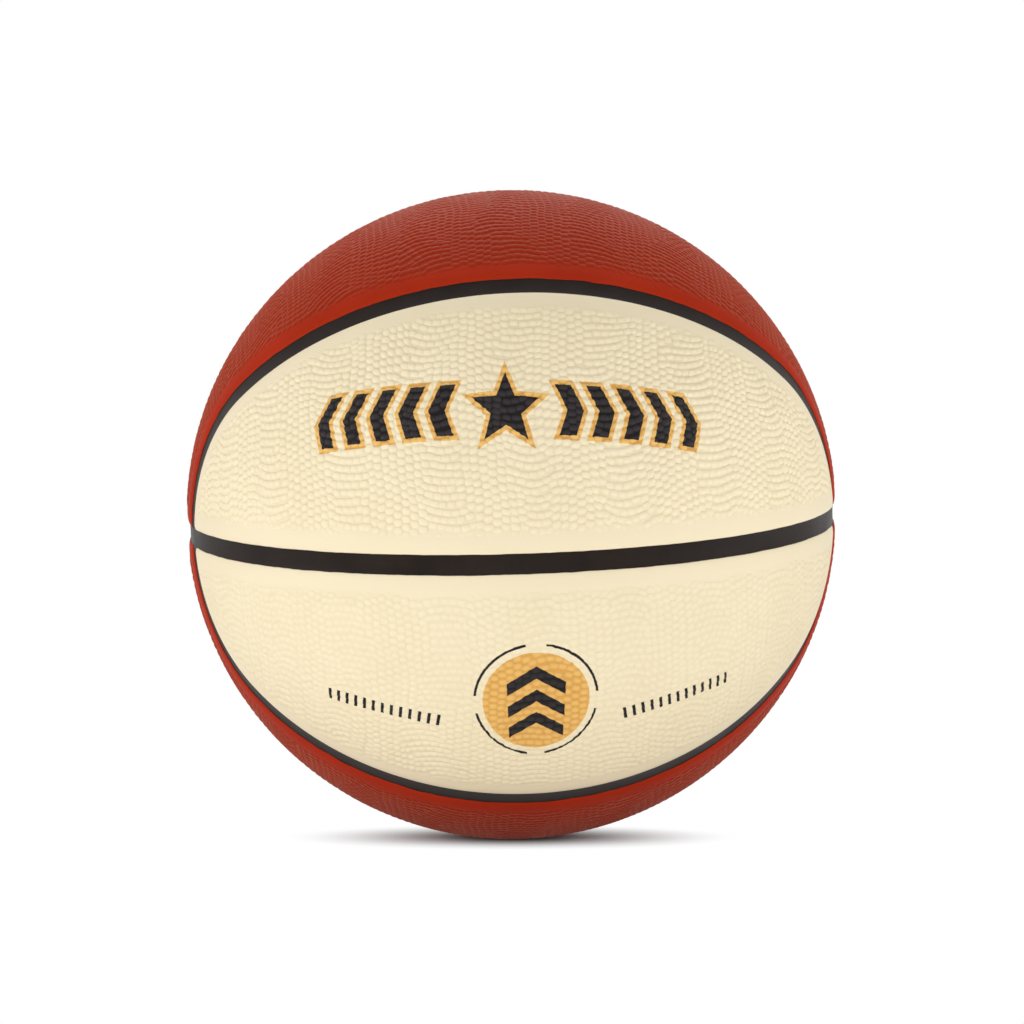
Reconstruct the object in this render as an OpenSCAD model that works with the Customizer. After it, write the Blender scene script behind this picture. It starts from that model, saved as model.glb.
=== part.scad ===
// Rubber basketball: eight moulded cover panels and seven channel strips on a backing
// layer, over a nylon winding and an air bladder with a needle valve.
// Origin at the centre of the ball. +Z is square to the seam that runs round the ball
// through both ovals, and the two ovals lie round -Y (front) and +Y (back).

/* [Ball] */
// Diameter of the ball over the tops of its grip pebbles
ball_d = 243; // [170:1:250]

/* [Cover] */
// Depth of a channel below the tops of the pebbles
channel_depth = 1.5; // [0.8:0.1:2.4]
// Width of the channel floor, which is the black line that shows
channel_w = 6.4; // [4:0.1:9]
// Thickness of the rubber strip that lines a channel
strip_t = 0.5; // [0.3:0.1:1.2]
// Width of the smooth rolled edge of a panel beside a channel
edge_w = 5; // [2.5:0.5:8]
// Number of facets that a rolled edge turns through
edge_steps = 4; // [3:1:6]

/* [Seam layout] */
// Half width of an oval on its middle line, as an angle at the centre
oval_half_width_angle = 46.3; // [43:0.1:49]
// Half length of an oval along the equator seam, as an angle at the centre
oval_half_length_angle = 74.5; // [71:0.5:77]
// Angular radius of the circle that each long side of an oval follows
side_arc_angle = 89.5; // [87:0.1:90]

/* [Layers under the cover] */
// Thickness of the backing rubber
carcass_t = 0.5; // [0.3:0.05:1]
// Thickness of the nylon thread layer
winding_t = 0.35; // [0.2:0.05:0.8]
// Wall of the bladder
bladder_t = 0.7; // [0.5:0.05:1.5]

/* [Valve] */
// Outer diameter of the valve housing where it shows in the cover
valve_d = 8; // [6.5:0.5:11]
// How far the valve lies below the tops of the pebbles
valve_recess = 0.6; // [0.2:0.1:1.2]
// Diameter of the flange that is bonded inside the bladder
flange_d = 22; // [16:1:30]
// Thickness of that flange at its hub
flange_t = 1.2; // [0.8:0.1:2]
// Length of the housing's tube below the flange
tube_len = 6; // [4:0.5:9]
// Diameter of the plug's body in the tube
plug_d = 4.8; // [4:0.1:5.4]
// Diameter of the barb that holds the plug behind the tube
barb_d = 6; // [5.6:0.1:7.5]
// Length of the barb
barb_len = 2.4; // [1.5:0.1:4]
// Diameter of the hole that guides the pump needle
needle_d = 2.4; // [1.8:0.1:3]
// Depth of the needle hole below the plug's face
needle_depth = 8; // [5:0.5:9]
// Width of the cone at the mouth of the needle hole
mouth_w = 0.5; // [0.2:0.1:0.8]

/* [Hidden] */
$fn = 120;

// Cement line between bonded pieces
cement_t = 0.02;
// Every cut runs past what it cuts by this much
overrun = 4;
// Small angle at which an end arc of an oval crosses a side arc
blend_angle = 4;

ball_r = ball_d / 2;
half_w = channel_w / 2;
floor_r = ball_r - channel_depth;
cover_in_r = floor_r - strip_t;
carcass_r = cover_in_r - cement_t;
winding_r = carcass_r - carcass_t - cement_t;
bladder_r = winding_r - winding_t - cement_t;
bladder_in_r = bladder_r - bladder_t;
core_r = cover_in_r - overrun;
far_r = ball_r + overrun;

// Each oval has two long side arcs, whose centres lie past its middle line, and two
// round ends. The ends' size and place follow from where the side arcs run.
side_tilt = side_arc_angle - oval_half_width_angle;
end_arc_angle = atan((cos(side_tilt) * cos(oval_half_length_angle) - cos(side_arc_angle))
    / (sin(side_arc_angle) * cos(blend_angle) - cos(side_tilt) * sin(oval_half_length_angle)));
end_place = oval_half_length_angle - end_arc_angle;
// Direction, round an end's centre, in which side and end arc meet
meet_angle = atan(tan(side_tilt) / sin(end_place));
// The valve stands midway between the back oval and the meridian seam
valve_tilt = (90 - oval_half_width_angle) / 2;
valve_top = ball_r - valve_recess;
tube_bottom = bladder_in_r - flange_t - tube_len;
// Angle between the centres of a side arc and an end arc, and how far to either side of
// the meeting plane they cross, seen from the end's and from the side's centre
meet_span = acos(cos(side_arc_angle) * cos(end_arc_angle)
    + sin(side_arc_angle) * sin(end_arc_angle) * cos(blend_angle));
end_lap = 180 - acos((cos(side_arc_angle) - cos(meet_span) * cos(end_arc_angle))
    / (sin(meet_span) * sin(end_arc_angle)));
side_lap = asin(sin(end_lap) * sin(end_arc_angle) / sin(side_arc_angle));
// Half the turn of a side arc, which ends between the meeting plane and the crossing
side_sweep = atan(tan(end_place) / sin(side_tilt)) + side_lap / 2;
// End arcs run this far below the equator, where the channel cuts them off
end_below = 30;
wide = far_r + overrun;

// Angle at the centre that a length along the cover spans
function arc_angle(s) = s / ball_r * 180 / PI;
// A point in a section square to a seam circle of angular radius rho, measured from the
// circle's axis: s along the cover from the seam's line, r from the centre of the ball
function sect(rho, s, r) = [r * sin(rho + arc_angle(s)), r * cos(rho + arc_angle(s))];
// The rolled edge of a panel on one side (1 or -1) of a seam falls in flats from the top
// of the panel to the channel floor; t runs from 0 at the floor to 90 at the top
function edge_pt(rho, side, t) =
    sect(rho, side * (half_w + edge_w * (1 - cos(t))), floor_r + channel_depth * sin(t));
// Half the width of the two great-circle channels between their flat walls
wall = sect(90, half_w, floor_r)[0] * tan(arc_angle(half_w));

// Each flat of a rolled edge is part of a sphere whose centre lies on the seam's axis, at
// flat_h. A flat steeper than its place is hollow, and its sphere is taken away instead.
function flat_h(rho, side, i) =
    let (p = edge_pt(rho, side, 90 * i / edge_steps),
         q = edge_pt(rho, side, 90 * (i + 1) / edge_steps))
    (q * q - p * p) / (2 * (q[1] - p[1]));
module flat(rho, side, i) {
    p = edge_pt(rho, side, 90 * i / edge_steps);
    h = flat_h(rho, side, i);
    translate([0, 0, h]) sphere(r = norm([p[0], p[1] - h]));
}
module rolled_edge(rho, side) {
    steps = [0:edge_steps - 1];
    difference() {
        intersection_for(i = [for (i = steps) if (flat_h(rho, side, i) * side < 0) i])
            flat(rho, side, i);
        for (i = [for (i = steps) if (flat_h(rho, side, i) * side > 0) i]) flat(rho, side, i);
    }
}

module at_side_arc() rotate([90 + side_tilt, 0, 0]) children();
module at_end_arc() rotate([90, 0, end_place]) children();
module both_ends() {
    children();
    mirror([1, 0, 0]) children();
}

// Inside of the upper half of the front oval, out to s from the seam's line
module oval_inside(s) {
    side_h = sect(side_arc_angle, s, floor_r)[1];
    end_in = sect(end_arc_angle, s, core_r);
    end_out = sect(end_arc_angle, s, far_r);
    at_side_arc() rotate([0, 0, 90 - side_sweep]) rotate_extrude(angle = 2 * side_sweep)
        polygon([[0, core_r], [core_r * sin(side_arc_angle), side_h], [wide, side_h],
            [wide, wide], [0, wide]]);
    both_ends() at_end_arc() rotate([0, 0, -end_below])
        rotate_extrude(angle = end_below + meet_angle + 1.5 * end_lap)
            polygon([[0, core_r], end_in, end_out, [end_out[0], wide], [0, wide]]);
}

// What the rolled edge at an end of the oval takes off the lens, past the meeting plane
module end_cut() at_end_arc() difference() {
    rotate([0, 0, meet_angle]) translate([-wide, -2 * wide, -wide])
        cube([2 * wide, 2 * wide, 2 * wide]);
    rolled_edge(end_arc_angle, -1);
}

// What the rolled edge along a side of the oval takes off the band
module side_cut() at_side_arc() difference() {
    rotate([0, 0, 90 - side_sweep]) rotate_extrude(angle = 2 * side_sweep)
        translate([0, -wide]) square([wide, 2 * wide]);
    rolled_edge(side_arc_angle, 1);
}

module shell(r_out, r_in) difference() {
    sphere(r = r_out);
    sphere(r = r_in);
}

// The space above the equator channel, and in front of the meridian channel if front
module above(front = false) translate([-wide, -wide, wall])
    cube([2 * wide, front ? wide - wall : 2 * wide, wide]);

module lens_panel() difference() {
    intersection() {
        shell(ball_r, cover_in_r);
        above();
        oval_inside(-half_w);
        at_side_arc() rolled_edge(side_arc_angle, -1);
        rolled_edge(90, -1);
    }
    both_ends() end_cut();
}

// Rolls the cover down outside both ends of the oval, one flat after another
module end_rolled(i = 0) {
    if (i == edge_steps) children();
    else if (flat_h(end_arc_angle, 1, i) < 0) intersection() {
        end_rolled(i + 1) children();
        at_end_arc() flat(end_arc_angle, 1, i);
        mirror([1, 0, 0]) at_end_arc() flat(end_arc_angle, 1, i);
    }
    else difference() {
        end_rolled(i + 1) children();
        both_ends() at_end_arc() flat(end_arc_angle, 1, i);
    }
}

module band_panel() end_rolled() difference() {
    intersection() {
        shell(ball_r, cover_in_r);
        above(true);
        rolled_edge(90, -1);
        rotate([90, 0, 0]) rolled_edge(90, -1);
    }
    oval_inside(half_w);
    side_cut();
}

module strip_ring(turn = 360) rotate_extrude(angle = turn) intersection() {
    difference() {
        circle(r = floor_r);
        circle(r = cover_in_r);
    }
    translate([0, cement_t - wall]) square([wide, 2 * (wall - cement_t)]);
}

module meridian_strip() intersection() {
    rotate([90, 0, 0]) strip_ring(180);
    above();
}

module oval_strip() difference() {
    intersection() {
        shell(floor_r, cover_in_r);
        above();
        oval_inside(half_w - cement_t);
    }
    oval_inside(cement_t - half_w);
}

// Turns the front upper piece of a kind to the other three places
module front_lower() rotate([0, 180, 0]) children();
module back_upper() rotate([0, 0, 180]) children();
module back_lower() rotate([180, 0, 0]) children();

module at_valve() rotate([-valve_tilt, 0, 0]) children();

module valve_hole() at_valve() cylinder(h = far_r, r = valve_d / 2 + cement_t);

module lens_front_upper() color([0.93, 0.88, 0.75]) lens_panel();
module lens_front_lower() color([0.93, 0.88, 0.75]) front_lower() lens_panel();
module lens_back_upper() color([0.93, 0.88, 0.75]) back_upper() lens_panel();
module lens_back_lower() color([0.93, 0.88, 0.75]) back_lower() lens_panel();

module band_front_upper() color([0.62, 0.2, 0.13]) band_panel();
module band_front_lower() color([0.62, 0.2, 0.13]) front_lower() band_panel();
module band_back_upper() color([0.62, 0.2, 0.13]) difference() {
    back_upper() band_panel();
    valve_hole();
}
module band_back_lower() color([0.62, 0.2, 0.13]) back_lower() band_panel();

module channel_equator() color([0.14, 0.13, 0.13]) strip_ring();
module channel_meridian_upper() color([0.14, 0.13, 0.13]) meridian_strip();
module channel_meridian_lower() color([0.14, 0.13, 0.13]) rotate([0, 180, 0])
    meridian_strip();
module channel_front_upper() color([0.14, 0.13, 0.13]) oval_strip();
module channel_front_lower() color([0.14, 0.13, 0.13]) front_lower() oval_strip();
module channel_back_upper() color([0.14, 0.13, 0.13]) back_upper() oval_strip();
module channel_back_lower() color([0.14, 0.13, 0.13]) back_lower() oval_strip();

module carcass() color([0.3, 0.26, 0.22]) difference() {
    shell(carcass_r, carcass_r - carcass_t);
    valve_hole();
}

module winding() color([0.85, 0.84, 0.8]) difference() {
    shell(winding_r, winding_r - winding_t);
    valve_hole();
}

module bladder() color([0.1, 0.1, 0.11]) difference() {
    shell(bladder_r, bladder_in_r);
    valve_hole();
}

// Tube through every layer, with a flange that lies against the inside of the bladder
// and thins to its rim
module valve_housing() color([0.12, 0.12, 0.12]) at_valve() difference() {
    union() {
        translate([0, 0, tube_bottom]) cylinder(h = valve_top - tube_bottom, r = valve_d / 2);
        intersection() {
            sphere(r = bladder_in_r - cement_t, $fn = 256);
            translate([0, 0, bladder_in_r - cement_t - flange_t]) rotate_extrude() polygon([
                [0, 0], [valve_d / 2, 0], [flange_d / 2, flange_rim_drop()],
                [flange_d / 2, flange_t + overrun], [0, flange_t + overrun]]);
        }
    }
    translate([0, 0, tube_bottom - overrun])
        cylinder(h = valve_top - tube_bottom + 2 * overrun, r = plug_d / 2 + cement_t);
}
// The flange's underside follows the bladder, rising to half of flange_t at its rim
function flange_rim_drop() = flange_t / 2 - (bladder_in_r
    - sqrt(bladder_in_r * bladder_in_r - flange_d * flange_d / 4));

// Self-sealing plug: body, barb behind the tube, and a blind hole that guides the needle
module valve_plug() color([0.2, 0.19, 0.18]) at_valve() rotate_extrude() polygon([
    [0, tube_bottom - cement_t - barb_len],
    [needle_d / 2, tube_bottom - cement_t - barb_len],
    [barb_d / 2, tube_bottom - cement_t],
    [plug_d / 2, tube_bottom - cement_t],
    [plug_d / 2, valve_top],
    [needle_d / 2 + mouth_w, valve_top],
    [needle_d / 2, valve_top - mouth_w],
    [needle_d / 2, valve_top - needle_depth],
    [0, valve_top - needle_depth - needle_d / 2]]);

lens_front_upper();
lens_front_lower();
lens_back_upper();
lens_back_lower();
band_front_upper();
band_front_lower();
band_back_upper();
band_back_lower();
channel_equator();
channel_meridian_upper();
channel_meridian_lower();
channel_front_upper();
channel_front_lower();
channel_back_upper();
channel_back_lower();
carcass();
winding();
bladder();
valve_housing();
valve_plug();
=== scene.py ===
import math

import bpy
import numpy as np
from mathutils import Matrix, Vector
from mathutils.geometry import delaunay_2d_cdt


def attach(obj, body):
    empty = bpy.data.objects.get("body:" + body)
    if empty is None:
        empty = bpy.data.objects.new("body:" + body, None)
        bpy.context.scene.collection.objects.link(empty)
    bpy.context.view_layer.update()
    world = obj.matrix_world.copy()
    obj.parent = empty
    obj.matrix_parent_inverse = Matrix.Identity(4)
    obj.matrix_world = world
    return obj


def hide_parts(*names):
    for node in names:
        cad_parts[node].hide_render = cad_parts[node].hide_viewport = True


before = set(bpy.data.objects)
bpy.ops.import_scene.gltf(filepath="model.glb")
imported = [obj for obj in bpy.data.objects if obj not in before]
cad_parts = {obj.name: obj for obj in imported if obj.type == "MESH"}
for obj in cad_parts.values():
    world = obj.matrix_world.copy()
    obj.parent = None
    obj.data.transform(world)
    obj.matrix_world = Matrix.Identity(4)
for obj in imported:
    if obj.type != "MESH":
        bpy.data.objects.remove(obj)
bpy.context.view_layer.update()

scene = bpy.context.scene
mm = 0.001

# camera
view = {
    "toCamera": (-0.0457, -0.9902, 0.1320),  # from the ball's centre
    "up": (0.0349, 0.1305, 0.9908),          # square to the floor: the ball lies tipped
    "distance": 716.9,                       # mm, 5.9 ball radii
    "lens": 66.54,
    "sensor": 36.0,
    "ballAt": (511.4, 514.2),                # where the centre of the ball comes in the picture
    "picture": 1024,
}

back = Vector(view["toCamera"]).normalized()
up = Vector(view["up"]).normalized()
right = up.cross(back).normalized()
up = back.cross(right).normalized()


def place(across, above, near):
    return (right * across + up * above + back * near) * mm  # mm along the camera's axes


def facing(direction, top):
    z = Vector(direction).normalized()
    x = Vector(top).cross(z).normalized()
    return Matrix((x, z.cross(x), z)).transposed()


camData = bpy.data.cameras.new("camera")
camData.lens = view["lens"]
camData.sensor_width = view["sensor"]
camData.shift_x = (view["picture"] / 2 - view["ballAt"][0]) / view["picture"]
camData.shift_y = (view["ballAt"][1] - view["picture"] / 2) / view["picture"]
camera = bpy.data.objects.new("camera", camData)
scene.collection.objects.link(camera)
camera.matrix_world = Matrix.Translation(place(0, 0, view["distance"])) @ facing(back, up).to_4x4()
scene.camera = camera
print("camera set")

# sizes of the ball and where its seams run
ball = {
    "radius": 121.5,       # over the tops of the pebbles
    "floorRadius": 120.0,  # floor of the channels
    "innerRadius": 119.5,  # inside of the cover
}
seams = {
    "halfWidth": 3.2,       # mm, half the width of a channel's floor
    # degrees at the centre of the ball
    "ovalHalfWidth": 46.3,
    "ovalHalfLength": 74.5,
    "sideArc": 89.5,        # radius of the arc along a long side of the oval
    "blend": 4.0,           # it crosses the arc round an end at this angle
    "easing": 3.0,          # mm over which one arc runs into the next
    "easePoints": 40,       # either side of each point
    "arcPoints": (200, 700),  # of half an end and of a side, before they are divided evenly
    "loopPoints": 2000,
}


def unit(points):
    return points / np.linalg.norm(points, axis=-1, keepdims=True)


def alongCurve(points, places):
    step = np.linalg.norm(np.diff(points, axis=0), axis=1)
    run = np.concatenate([[0], np.cumsum(step)])
    return unit(np.stack([np.interp(places, run, points[:, i]) for i in range(3)], axis=1))


def runLength(points):
    return np.linalg.norm(np.diff(points, axis=0), axis=1).sum()


def circleArc(axis, across, side, radius, turns):
    axis, across, side = (np.array(v) for v in (axis, across, side))
    turns = np.radians(turns)[:, None]
    return axis * math.cos(radius) + math.sin(radius) * (across * np.cos(turns) + side * np.sin(turns))


def ovalLoop():
    names = ("ovalHalfWidth", "ovalHalfLength", "sideArc", "blend")
    wide, long, side, blend = (math.radians(seams[name]) for name in names)
    tilt = side - wide
    end = math.atan((math.cos(tilt) * math.cos(long) - math.cos(side))
                    / (math.sin(side) * math.cos(blend) - math.cos(tilt) * math.sin(long)))
    endAxis = np.array([math.sin(long - end), -math.cos(long - end), 0])
    endAcross = np.array([math.cos(long - end), math.sin(long - end), 0])
    sideAxis = np.array([0, -math.cos(tilt), -math.sin(tilt)])
    sideAcross = np.array([0, -math.sin(tilt), math.cos(tilt)])
    # the two arcs cross here
    apart = endAxis @ sideAxis
    onEnd = (math.cos(end) - apart * math.cos(side)) / (1 - apart * apart)
    onSide = (math.cos(side) - apart * math.cos(end)) / (1 - apart * apart)
    normal = np.cross(sideAxis, endAxis)
    rest = 1 - onEnd * onEnd - onSide * onSide - 2 * onEnd * onSide * apart
    onNormal = math.sqrt(rest / (1 - apart * apart))
    crossing = onEnd * endAxis + onSide * sideAxis + onNormal * normal * np.sign(normal[2])
    endTurn = math.degrees(math.atan2(crossing[2], crossing @ endAcross))
    sideTurn = math.degrees(math.atan2(crossing[0], crossing @ sideAcross))
    endPoints, sidePoints = seams["arcPoints"]
    endArc = circleArc(endAxis, endAcross, (0, 0, 1), end, np.linspace(0, endTurn, endPoints))
    sideArc = circleArc(sideAxis, sideAcross, (1, 0, 0), side, np.linspace(sideTurn, -sideTurn, sidePoints))
    upper = np.concatenate([endArc, sideArc[1:-1], endArc[::-1] * (-1, 1, 1)])
    loop = np.concatenate([upper, upper[-2:0:-1] * (1, 1, -1), upper[:1]])
    total, count = runLength(loop), seams["loopPoints"]
    loop = alongCurve(loop, np.arange(count) / count * total)
    reach = seams["easing"] / (total * ball["radius"] / count)
    shifts = range(-seams["easePoints"], seams["easePoints"] + 1)
    weights = np.exp(-0.5 * (np.array(shifts) / reach) ** 2)
    return unit(sum(weight * np.roll(loop, shift, axis=0) for weight, shift in zip(weights, shifts)))


oval = ovalLoop()
ovalOut = unit(np.cross(np.roll(oval, -1, axis=0) - np.roll(oval, 1, axis=0), oval))


def offsetOval(distance):
    angle = distance / ball["radius"]
    return unit(oval * math.cos(angle) + ovalOut * math.sin(angle))


def upperRun(loop, height):
    above = np.nonzero(loop[:, 2] > height)[0]              # from the right tip over the top
    first, last = int(above[0]), int(above[-1])

    def crossing(below, inside):
        share = (height - loop[below, 2]) / (loop[inside, 2] - loop[below, 2])
        return loop[below] + share * (loop[inside] - loop[below])

    start, end = crossing(first - 1, first), crossing(last + 1, last)
    return unit(np.concatenate([[start], loop[first:last + 1], [end]]))


def levelArc(start, end, axis, count=600):
    axis = np.array(axis, float)                            # turns about axis, at a fixed height on it
    height = start @ axis
    foot = unit(start - height * axis)
    side = np.cross(axis, foot)
    turn = math.atan2(end @ side, end @ foot)
    turns = np.linspace(0, turn, count)[:, None]
    return height * axis + math.sqrt(1 - height ** 2) * (foot * np.cos(turns) + side * np.sin(turns))


def overTop(start):
    middle = np.array([0, start[1], math.sqrt(1 - start[1] ** 2)])
    half = levelArc(start, middle, (0, -1, 0))
    return np.concatenate([half, half[-2::-1] * (-1, 1, 1)])


def lensEdges(inset):
    distance = seams["halfWidth"] + inset
    top = upperRun(offsetOval(-distance), math.sin(distance / ball["radius"]))
    return [top, levelArc(top[-1], top[0], (0, 0, 1))]


def bandEdges(inset):
    distance = seams["halfWidth"] + inset
    height = math.sin(distance / ball["radius"])
    low = upperRun(offsetOval(distance), height)[::-1]
    rightCorner = np.array([math.sqrt(1 - 2 * height * height), -height, height])
    toRight = levelArc(low[-1], rightCorner, (0, 0, 1))
    fromLeft = levelArc(rightCorner * (-1, 1, 1), low[0], (0, 0, 1))
    return [low, toRight, overTop(rightCorner), fromLeft]


# a cover panel: rolled edge, smooth margin, pebbled field
panel = {
    "skinDrop": 0.5,      # the field between the pebbles lies this far below their tops
    "edgeWidth": 5.0,     # over which the edge rolls down to the channel
    "edgeTurns": (0, 9, 20, 32, 44, 56, 68, 80, 90),
    "margin": 6.4,        # the rings end this far in
    "edgeStep": 2.3,      # along the edge
    "nearCorner": (0, .25, .5, .8, 1.1, 1.5, 2.1, 3.0, 4.2),
    "leastMiddle": 3,     # between the close points of two corners
    "cornerRound": 1.5,
    "roundLoss": 0.05,    # share that it loses with each mm in from the channel
    "roundLook": 4,       # the point on an edge that tells which way it leaves the corner
    "fieldStep": 5.2,     # of the skin below the pebbles
    "fieldGap": 2.2,      # from the last ring to the first point of the field
    "deepInside": 20,     # inset that the skin has round the valve
    "sharpAngle": 55,     # past which an edge isn't shaded smooth
}
skinRadius = ball["radius"] - panel["skinDrop"]


def edgeRadius(inset):
    inset = np.clip(inset, 0, panel["edgeWidth"])           # a quarter of an ellipse
    lift = np.sqrt(np.clip(1 - (1 - inset / panel["edgeWidth"]) ** 2, 0, 1))
    return ball["floorRadius"] + (skinRadius - ball["floorRadius"]) * lift


def edgePlaces(length, count):
    near = np.array(panel["nearCorner"])
    near = near * min(1.0, length / (2 * near[-1] + panel["leastMiddle"]))
    middle = np.linspace(near[-1], length - near[-1], count)
    return np.concatenate([near[:-1], middle, (length - near[:-1])[:0:-1]])


def closedRing(edges, counts, roundness):
    parts, toCorner = [], []
    for points, count in zip(edges, counts):
        length = runLength(points) * ball["radius"]
        places = edgePlaces(length, count)
        parts.append(alongCurve(points, places / ball["radius"]))
        toCorner.append((places, length - places))
    radius, look = roundness / ball["radius"], panel["roundLook"]
    out = []
    for i, part in enumerate(parts):                        # corners are rounded in their own plane
        before, after, rounded = parts[i - 1], parts[(i + 1) % len(parts)], part.copy()
        for corner, own, other, away in (
                (part[0], part[look], before[-look], toCorner[i][0]),
                (after[0], part[-look], after[look], toCorner[i][1])):
            own, other = unit(own - corner), unit(other - corner)
            for j in np.nonzero(away < roundness)[0]:
                turn = (1 - away[j] / roundness) * math.pi / 4
                rounded[j] = corner + radius * (own * (1 - math.sin(turn)) + other * (1 - math.cos(turn)))
        out.append(unit(rounded))
    return np.concatenate(out)


def axesAt(middle):
    middle = unit(np.array(middle, float))
    across = unit(np.cross((0.0, 1.0, 0.0), middle)) if abs(middle[1]) < 0.9 else np.array([1.0, 0, 0])
    return middle, across, np.cross(middle, across)


def flatten(points, middle):
    middle, across, side = axesAt(middle)
    scale = np.sqrt(2 / (1 + points @ middle))
    return np.stack([points @ across * scale, points @ side * scale], axis=1)


def unflatten(flat, middle):
    middle, across, side = axesAt(middle)
    square = (flat ** 2).sum(axis=1)
    shrink = np.sqrt(np.clip(1 - square / 4, 0, 1))
    level = flat[:, :1] * across + flat[:, 1:] * side
    return level * shrink[:, None] + (1 - square / 2)[:, None] * middle


def fromOval(points):
    out, chunk = np.zeros(len(points)), 500
    for start in range(0, len(points), chunk):
        some = slice(start, start + chunk)
        nearest = np.argmax(points[some] @ oval.T, axis=1)
        gap = points[some] - oval[nearest]
        out[some] = (gap * ovalOut[nearest]).sum(axis=1) * ball["radius"]
    return out                                              # mm, positive outside the oval


def overPlane(heights):
    return np.arcsin(np.clip(heights, -1, 1)) * ball["radius"]


def insetOfLens(points):
    return np.minimum(overPlane(points[:, 2]), -fromOval(points)) - seams["halfWidth"]


def insetOfBand(points):
    sides = np.minimum(overPlane(points[:, 2]), overPlane(-points[:, 1]))
    return np.minimum(sides, fromOval(points)) - seams["halfWidth"]


kinds = {
    # the way to a panel's middle, and how far the points of its field are spread from there
    "lens": {"edges": lensEdges, "inset": insetOfLens, "middle": (0, -math.cos(0.42), math.sin(0.42)),
             "reach": 1.35},
    "band": {"edges": bandEdges, "inset": insetOfBand, "middle": (0, -math.sin(0.39), math.cos(0.39)),
             "reach": 1.62},
}
valve = {
    "tilt": (90 - seams["ovalHalfWidth"]) / 2,
    "holeRadius": 4.02,
    "landRadius": 8.6,    # smooth ring that is moulded round the valve
    "fieldGap": 1.5,      # from there to the first point of the field
    "pebblesFrom": (0.6, 2.2),  # and where the pebbles begin and have their full height
    # from the hole outwards: distance from the axis, and height over the skin
    "landProfile": ((4.02, -0.42), (4.1, -0.2), (4.3, -0.06), (4.6, 0.0), (5.6, 0.0), (6.0, 0.07),
                    (6.4, 0.14), (6.9, 0.14), (7.3, 0.07), (7.7, 0.0)),
    "sides": 48,
}
valveTilt = math.radians(valve["tilt"])
valveWay = np.array([0, -math.sin(valveTilt), math.cos(valveTilt)])


def fromValve(points):
    return np.arccos(np.clip(points @ valveWay, -1, 1)) * ball["radius"]


def valveRing(away):
    across = np.array([1.0, 0, 0])
    side = np.cross(valveWay, across)
    turn = np.arange(valve["sides"]) / valve["sides"] * 2 * math.pi
    angle = away / ball["radius"]
    spoke = np.cos(turn)[:, None] * across + np.sin(turn)[:, None] * side
    return valveWay * math.cos(angle) + math.sin(angle) * spoke


class Skin:
    # points, their distance in from the channel, and faces of one cover panel
    def __init__(self):
        self.coords, self.inset, self.faces, self.total = [], [], [], 0

    def add(self, points, inset):
        numbers = range(self.total, self.total + len(points))
        self.coords.append(points)
        self.inset.append(np.zeros(len(points)) + inset)
        self.total += len(points)
        return numbers

    def bridge(self, low, high):
        for j in range(len(low)):
            after = (j + 1) % len(low)
            self.faces.append((low[j], low[after], high[after], high[j]))


def fieldGrid(spec, withHole):
    step = panel["fieldStep"] / ball["radius"]
    reach = spec["reach"]
    rows = np.arange(-reach, reach, step * math.sqrt(3) / 2)
    grid = np.array([(x + (row % 2) * step / 2, y) for row, y in enumerate(rows)
                     for x in np.arange(-reach, reach, step)])
    inMap = (grid ** 2).sum(axis=1) < 3.2                   # the flat map of the whole ball ends at 4
    points = unflatten(grid[inMap], spec["middle"])
    keep = spec["inset"](points) > panel["margin"] + panel["fieldGap"]
    if withHole:
        keep &= fromValve(points) > valve["landRadius"] + valve["fieldGap"]
    return points[keep]


def fieldTriangles(spec, border, hole, points):
    # triangles between the last ring, the valve's land and the grid, all counted in that order
    flat = flatten(np.concatenate([border, hole, points]), spec["middle"])
    around, holeCount = len(border), len(hole)
    joins = [(j, (j + 1) % around) for j in range(around)]
    joins += [(around + j, around + (j + 1) % holeCount) for j in range(holeCount)]
    out, _, triangles, sources, _, _ = delaunay_2d_cdt([Vector(p) for p in flat], joins, [], 1, 1e-7)
    source = [found[0] for found in sources]
    kept = []
    for triangle in triangles:
        a, b, c = (source[i] for i in triangle)
        if all(around <= i < around + holeCount for i in (a, b, c)):
            continue
        ab, ac = out[triangle[1]] - out[triangle[0]], out[triangle[2]] - out[triangle[0]]
        kept.append((a, b, c) if ab.cross(ac) > 0 else (a, c, b))
    return kept


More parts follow.
